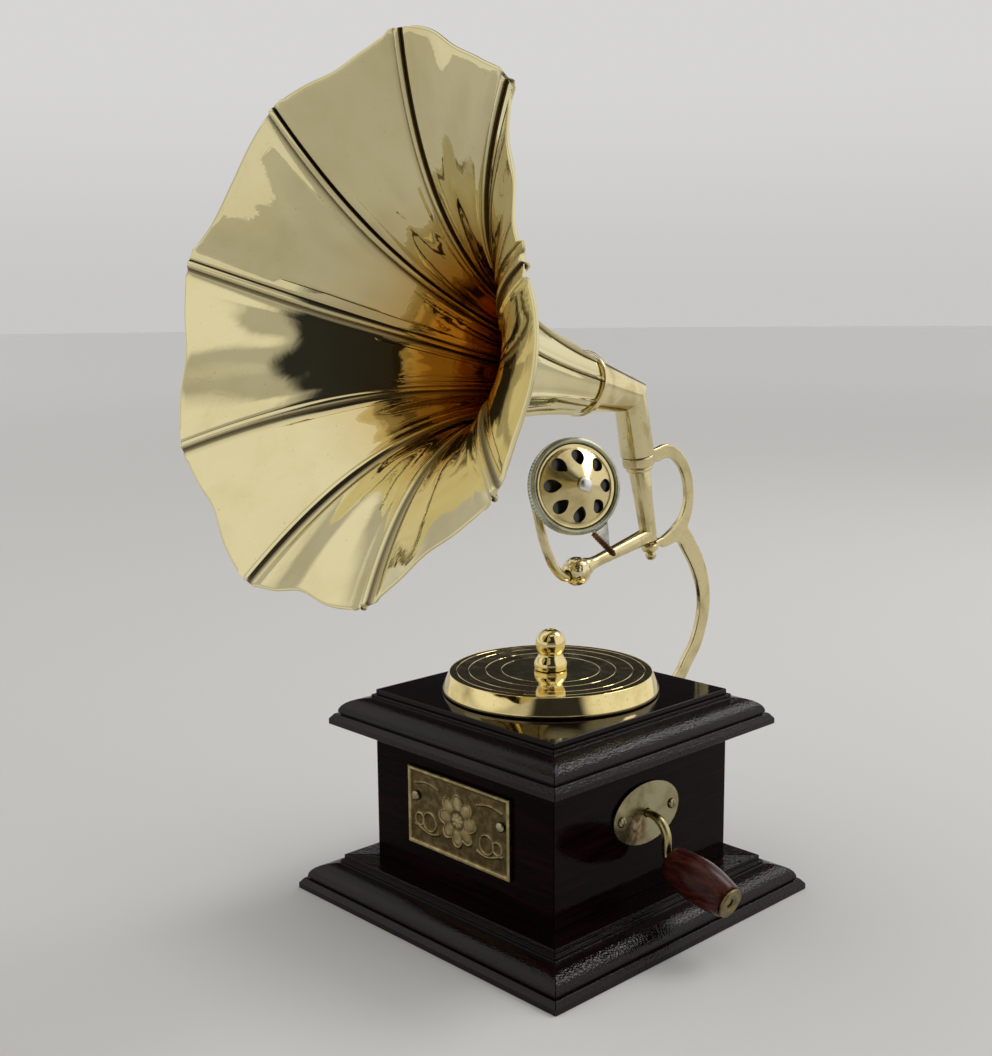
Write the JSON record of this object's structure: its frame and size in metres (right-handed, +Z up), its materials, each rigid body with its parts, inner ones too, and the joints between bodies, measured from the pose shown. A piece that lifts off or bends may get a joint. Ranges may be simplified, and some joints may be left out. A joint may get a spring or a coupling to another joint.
{
  "type": "miniature gramophone",
  "caption": "Small display gramophone: fluted flower horn on a curved cast bracket, swinging tone arm with sound box, turntable and hand crank on a square moulded wooden cabinet.",
  "frame": {"origin": "middle of the cabinet's flat underside", "axes": "+Z up, the nameplate faces -Y, the crank is on the +X side, the bracket stands behind at +Y and the horn opens towards -Y"},
  "size_m": [0.1381, 0.1559, 0.2275],
  "materials": {
    "dark_wood": "near-black mahogany under gloss lacquer",
    "grip_wood": "dark red-brown gloss lacquer",
    "horn_brass": "polished pale brass sheet",
    "cast_brass": "satin pale cast brass",
    "bright_brass": "mirror-polished brass",
    "antique_brass": "darkened antique brass with bright edges",
    "dull_metal": "dull grey-green plated metal",
    "silver": "bright nickel plate",
    "bronze": "dark bronze",
    "steel": "plain turned steel",
    "mica": "dark mica disc"
  },
  "bodies": {
    "cabinet": {"base_board": "dark_wood", "plinth_moulding_front": "dark_wood", "plinth_moulding_right": "dark_wood", "plinth_moulding_back": "dark_wood", "plinth_moulding_left": "dark_wood", "wall_front": "dark_wood", "wall_right": "dark_wood", "wall_back": "dark_wood", "wall_left": "dark_wood", "lid_moulding_front": "dark_wood", "lid_moulding_right": "dark_wood", "lid_moulding_back": "dark_wood", "lid_moulding_left": "dark_wood", "top_board": "dark_wood", "shaft_pillar": "dark_wood", "nameplate": "antique_brass", "nameplate_nail_left": "antique_brass", "nameplate_nail_right": "antique_brass", "crank_plate": "cast_brass", "crank_plate_screw_front": "cast_brass", "crank_plate_screw_back": "cast_brass", "crank_bush": "bright_brass", "spindle_bush": "bright_brass", "bracket": "cast_brass", "bracket_screw_lower": "cast_brass", "bracket_screw_upper": "cast_brass"},
    "turntable": {"platter": "bright_brass", "turntable_knob": "bright_brass", "spindle": "steel", "spindle_collar": "steel", "crown_wheel": "bright_brass"},
    "crank": {"crank_rod": "cast_brass", "crank_collar": "steel", "drive_pinion": "bright_brass", "grip_end_cap": "antique_brass"},
    "grip": {"crank_grip": "grip_wood"},
    "horn": {"horn_petal_1": "horn_brass", "horn_petal_2": "horn_brass", "horn_petal_3": "horn_brass", "horn_petal_4": "horn_brass", "horn_petal_5": "horn_brass", "horn_petal_6": "horn_brass", "horn_petal_7": "horn_brass", "horn_petal_8": "horn_brass", "horn_petal_9": "horn_brass", "throat_ring": "horn_brass", "horn_neck": "horn_brass", "horn_down_tube": "horn_brass"},
    "arm": {"tone_arm": "cast_brass", "tone_arm_ring": "cast_brass", "arm_ball": "bright_brass", "pivot_screw": "cast_brass"},
    "crook": {"crook": "cast_brass"},
    "sound_box": {"sound_box_rim": "dull_metal", "sound_box_cover": "bright_brass", "sound_box_back": "cast_brass", "diaphragm": "mica", "centre_rivet": "silver", "needle_lug": "silver", "needle": "bronze"}
  },
  "joints": [
    {"name": "turntable_spin", "type": "hinge", "parent": "cabinet", "child": "turntable", "pos_m": [0, 0, 0.0586], "axis": [0, 0, 1], "continuous": true},
    {"name": "crank_turn", "type": "hinge", "parent": "cabinet", "child": "crank", "pos_m": [0.0345, 0, 0.032], "axis": [1, 0, 0], "continuous": true},
    {"name": "grip_spin", "type": "hinge", "parent": "crank", "child": "grip", "pos_m": [0.04359, 0, 0.02099], "axis": [0.9613, 0, -0.2756], "continuous": true},
    {"name": "horn_swivel", "type": "hinge", "parent": "cabinet", "child": "horn", "pos_m": [0, 0.03645, 0.1193], "axis": [0, -0.2079, 0.9781], "continuous": true},
    {"name": "arm_swing", "type": "hinge", "parent": "cabinet", "child": "arm", "pos_m": [0, 0.03645, 0.1193], "axis": [0, -0.2079, 0.9781], "range_deg": [-110, 110]},
    {"name": "crook_tilt", "type": "hinge", "parent": "arm", "child": "crook", "pos_m": [0, 0.0105, 0.09037], "axis": [0, 0.9781, 0.2079], "range_deg": [-20, 90]},
    {"name": "sound_box_turn", "type": "hinge", "parent": "crook", "child": "sound_box", "pos_m": [0.007, 0.0022, 0.1157], "axis": [0.9129, -0.3693, 0.174], "range_deg": [-60, 60]}
  ],
  "couplings": [
    {"joint": "crank_turn", "follows": "turntable_spin", "ratio": -2}
  ]
}
